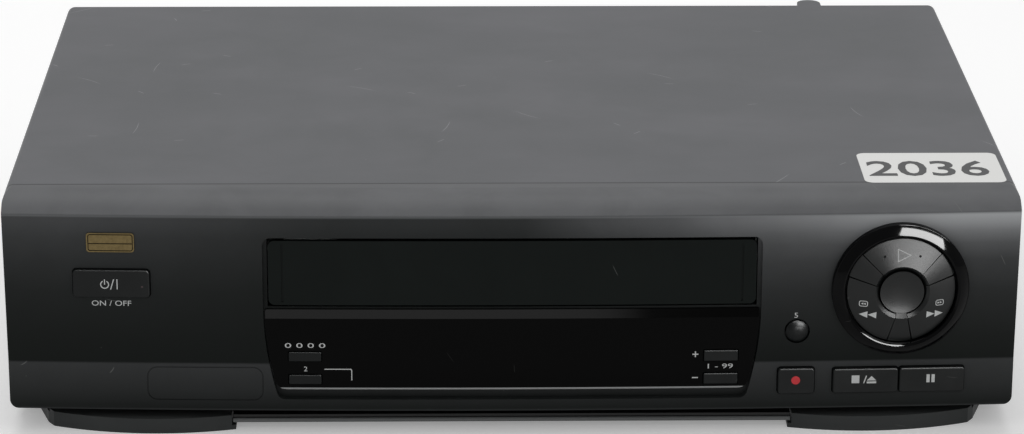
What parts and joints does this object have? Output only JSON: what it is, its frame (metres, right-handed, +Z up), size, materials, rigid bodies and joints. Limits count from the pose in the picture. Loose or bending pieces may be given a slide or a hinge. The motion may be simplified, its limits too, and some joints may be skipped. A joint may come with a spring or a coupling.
{
  "type": "video cassette recorder",
  "caption": "Front-loading video cassette recorder with a bowed front, drop-in flap, smoked window, round play dial, cassette lift and tape deck inside.",
  "frame": {"origin": "middle of the footprint, on the surface it stands on", "axes": "+Z up, -Y out of the front panel, +X to the right seen from the front"},
  "size_m": [0.4, 0.2936, 0.0973],
  "materials": {
    "moulded_panel": "satin moulded, fine grain",
    "gloss_ring": "high gloss",
    "button_plastic": "satin",
    "smoked_lens": "gloss smoked",
    "painted_sheet": "satin grey paint",
    "galvanised_sheet": "galvanised",
    "bright_steel": "turned",
    "board": "printed circuit laminate",
    "switch_plastic": "moulded",
    "display_glass": "glass",
    "brass_plate": "satin",
    "rubber": "matte",
    "foot_plastic": "moulded",
    "drum_aluminium": "polished",
    "white_nylon": "moulded",
    "dark_steel": "blackened",
    "transformer": "varnished laminations",
    "capacitor_sleeve": "shrink sleeve",
    "nickel": "nickel plate"
  },
  "bodies": {
    "chassis": {"badge_plate": "brass_plate", "bottom_plate": "painted_sheet", "capstan_bearing": "brass_plate", "coax_sockets": "nickel", "cover_screws": "bright_steel", "deck_plate": "galvanised_sheet", "dial_hub": "button_plastic", "dial_ring": "gloss_ring", "display_tube": "display_glass", "display_window": "smoked_lens", "drum_motor": "dark_steel", "fixed_heads": "bright_steel", "flap_spring": "bright_steel", "front_board": "board", "front_foot_left": "foot_plastic", "front_foot_right": "foot_plastic", "front_panel": "moulded_panel", "heat_sink": "drum_aluminium", "lift_bracket_left": "galvanised_sheet", "lift_bracket_right": "galvanised_sheet", "loading_motor": "bright_steel", "lower_drum": "drum_aluminium", "main_board": "board", "mains_inlet": "switch_plastic", "power_transformer": "transformer", "rear_feet": "rubber", "rear_panel": "dark_steel", "scart_sockets": "switch_plastic", "smoothing_capacitors": "capacitor_sleeve", "tact_switches": "switch_plastic", "top_cover": "painted_sheet", "tuner_can": "galvanised_sheet"},
    "flap": {"cassette_flap": "moulded_panel"},
    "lift_carriage": {"lift_slider_left": "white_nylon", "lift_slider_right": "white_nylon"},
    "holder": {"cassette_holder": "galvanised_sheet"},
    "cross_shaft": {"lift_shaft": "white_nylon"},
    "loading_wheel": {"loading_gear": "white_nylon"},
    "motor_rotor": {"motor_pinion": "white_nylon"},
    "drum_rotor": {"upper_drum": "drum_aluminium"},
    "capstan": {"capstan_rotor": "bright_steel"},
    "supply_reel": {"supply_reel_table": "switch_plastic"},
    "takeup_reel": {"takeup_reel_table": "switch_plastic"},
    "pinch_lever": {"pinch_arm": "bright_steel"},
    "pinch_wheel": {"pinch_roller": "rubber"},
    "tension_lever": {"tension_arm": "bright_steel"},
    "guide_left": {"supply_guide": "bright_steel"},
    "guide_right": {"takeup_guide": "bright_steel"},
    "power_key": {"power_button": "button_plastic"},
    "record_key": {"record_button": "button_plastic"},
    "stop_eject_key": {"stop_eject_button": "button_plastic"},
    "pause_key": {"pause_button": "button_plastic"},
    "counter_reset_key": {"counter_reset_button": "button_plastic"},
    "record_link_key": {"record_link_button": "button_plastic"},
    "channel_up_key": {"channel_up_button": "button_plastic"},
    "channel_down_key": {"channel_down_button": "button_plastic"},
    "display_key": {"display_button": "button_plastic"},
    "play_key": {"play_button": "button_plastic"},
    "rewind_key": {"rewind_button": "button_plastic"},
    "forward_key": {"forward_button": "button_plastic"}
  },
  "joints": [
    {"name": "flap_hinge", "type": "hinge", "parent": "chassis", "child": "flap", "pos_m": [0, -0.13466, 0.0868], "axis": [1, 0, 0], "range_deg": [0, 88], "stiffness_Nm_per_rad": 0.004, "springref_deg": -28.65},
    {"name": "holder_in", "type": "slide", "parent": "chassis", "child": "lift_carriage", "axis": [0, 1, 0], "range_m": [-0.066, 0]},
    {"name": "holder_down", "type": "slide", "parent": "lift_carriage", "child": "holder", "axis": [0, 0, -1], "range_m": [0, 0.022]},
    {"name": "cross_shaft_spin", "type": "hinge", "parent": "chassis", "child": "cross_shaft", "pos_m": [0, -0.03766, 0.087], "axis": [1, 0, 0], "range_deg": [-540.72, 0]},
    {"name": "loading_gear_spin", "type": "hinge", "parent": "chassis", "child": "loading_wheel", "pos_m": [0, -0.02093, 0.06842], "axis": [1, 0, 0], "range_deg": [0, 210.59]},
    {"name": "motor_spin", "type": "hinge", "parent": "chassis", "child": "motor_rotor", "pos_m": [0, -0.01676, 0.04479], "axis": [1, 0, 0], "range_deg": [-630.75, 0]},
    {"name": "drum_spin", "type": "hinge", "parent": "chassis", "child": "drum_rotor", "pos_m": [0, 0.06334, 0.0275], "axis": [0, -0.0958, 0.9954], "continuous": true},
    {"name": "capstan_spin", "type": "hinge", "parent": "chassis", "child": "capstan", "pos_m": [0.06, 0.02234, 0.04], "axis": [0, 0, 1], "continuous": true},
    {"name": "supply_reel_spin", "type": "hinge", "parent": "chassis", "child": "supply_reel", "pos_m": [-0.0462, -0.04266, 0.03], "axis": [0, 0, 1], "continuous": true},
    {"name": "takeup_reel_spin", "type": "hinge", "parent": "chassis", "child": "takeup_reel", "pos_m": [0.0462, -0.04266, 0.03], "axis": [0, 0, 1], "continuous": true},
    {"name": "pinch_arm_swing", "type": "hinge", "parent": "chassis", "child": "pinch_lever", "pos_m": [0.084, 0.03434, 0.03], "axis": [0, 0, 1], "range_deg": [0, 25]},
    {"name": "pinch_roller_spin", "type": "hinge", "parent": "pinch_lever", "child": "pinch_wheel", "pos_m": [0.0646, 0.03922, 0.04], "axis": [0, 0, 1], "continuous": true},
    {"name": "tension_arm_swing", "type": "hinge", "parent": "chassis", "child": "tension_lever", "pos_m": [-0.072, 0.03034, 0.03], "axis": [0, 0, 1], "range_deg": [-8, 12]},
    {"name": "supply_guide_run", "type": "slide", "parent": "chassis", "child": "guide_left", "axis": [-0.2833, 0.959, 0], "range_m": [0, 0.04588]},
    {"name": "takeup_guide_run", "type": "slide", "parent": "chassis", "child": "guide_right", "axis": [0.2833, 0.959, 0], "range_m": [0, 0.04588]},
    {"name": "power_press", "type": "slide", "parent": "chassis", "child": "power_key", "axis": [0.0394, 0.9992, 0], "range_m": [0, 0.0012], "stiffness_N_per_m": 200, "springref_m": -0.001},
    {"name": "record_press", "type": "slide", "parent": "chassis", "child": "record_key", "axis": [-0.0281, 0.9996, 0], "range_m": [0, 0.0012], "stiffness_N_per_m": 200, "springref_m": -0.001},
    {"name": "stop_eject_press", "type": "slide", "parent": "chassis", "child": "stop_eject_key", "axis": [-0.035, 0.9994, 0], "range_m": [0, 0.0012], "stiffness_N_per_m": 200, "springref_m": -0.001},
    {"name": "pause_press", "type": "slide", "parent": "chassis", "child": "pause_key", "axis": [-0.0416, 0.9991, 0], "range_m": [0, 0.0012], "stiffness_N_per_m": 200, "springref_m": -0.001},
    {"name": "counter_reset_press", "type": "slide", "parent": "chassis", "child": "counter_reset_key", "axis": [0.0205, 0.9998, 0], "range_m": [0, 0.0012], "stiffness_N_per_m": 200, "springref_m": -0.001},
    {"name": "record_link_press", "type": "slide", "parent": "chassis", "child": "record_link_key", "axis": [0.0205, 0.9998, 0], "range_m": [0, 0.0012], "stiffness_N_per_m": 200, "springref_m": -0.001},
    {"name": "channel_up_press", "type": "slide", "parent": "chassis", "child": "channel_up_key", "axis": [-0.0206, 0.9998, 0], "range_m": [0, 0.0012], "stiffness_N_per_m": 200, "springref_m": -0.001},
    {"name": "channel_down_press", "type": "slide", "parent": "chassis", "child": "channel_down_key", "axis": [-0.0206, 0.9998, 0], "range_m": [0, 0.0012], "stiffness_N_per_m": 200, "springref_m": -0.001},
    {"name": "display_press", "type": "slide", "parent": "chassis", "child": "display_key", "axis": [-0.0281, 0.9996, 0], "range_m": [0, 0.0012], "stiffness_N_per_m": 200, "springref_m": -0.001},
    {"name": "play_press", "type": "slide", "parent": "chassis", "child": "play_key", "axis": [-0.0382, 0.9993, 0], "range_m": [0, 0.0012], "stiffness_N_per_m": 200, "springref_m": -0.001},
    {"name": "rewind_press", "type": "slide", "parent": "chassis", "child": "rewind_key", "axis": [-0.0382, 0.9993, 0], "range_m": [0, 0.0012], "stiffness_N_per_m": 200, "springref_m": -0.001},
    {"name": "forward_press", "type": "slide", "parent": "chassis", "child": "forward_key", "axis": [-0.0382, 0.9993, 0], "range_m": [0, 0.0012], "stiffness_N_per_m": 200, "springref_m": -0.001}
  ],
  "couplings": [
    {"joint": "cross_shaft_spin", "follows": "holder_in", "rad_per_m": 142.86},
    {"joint": "loading_gear_spin", "follows": "holder_in", "rad_per_m": -55.556},
    {"joint": "motor_spin", "follows": "holder_in", "rad_per_m": 166.67},
    {"joint": "takeup_guide_run", "follows": "supply_guide_run", "ratio": 1}
  ]
}
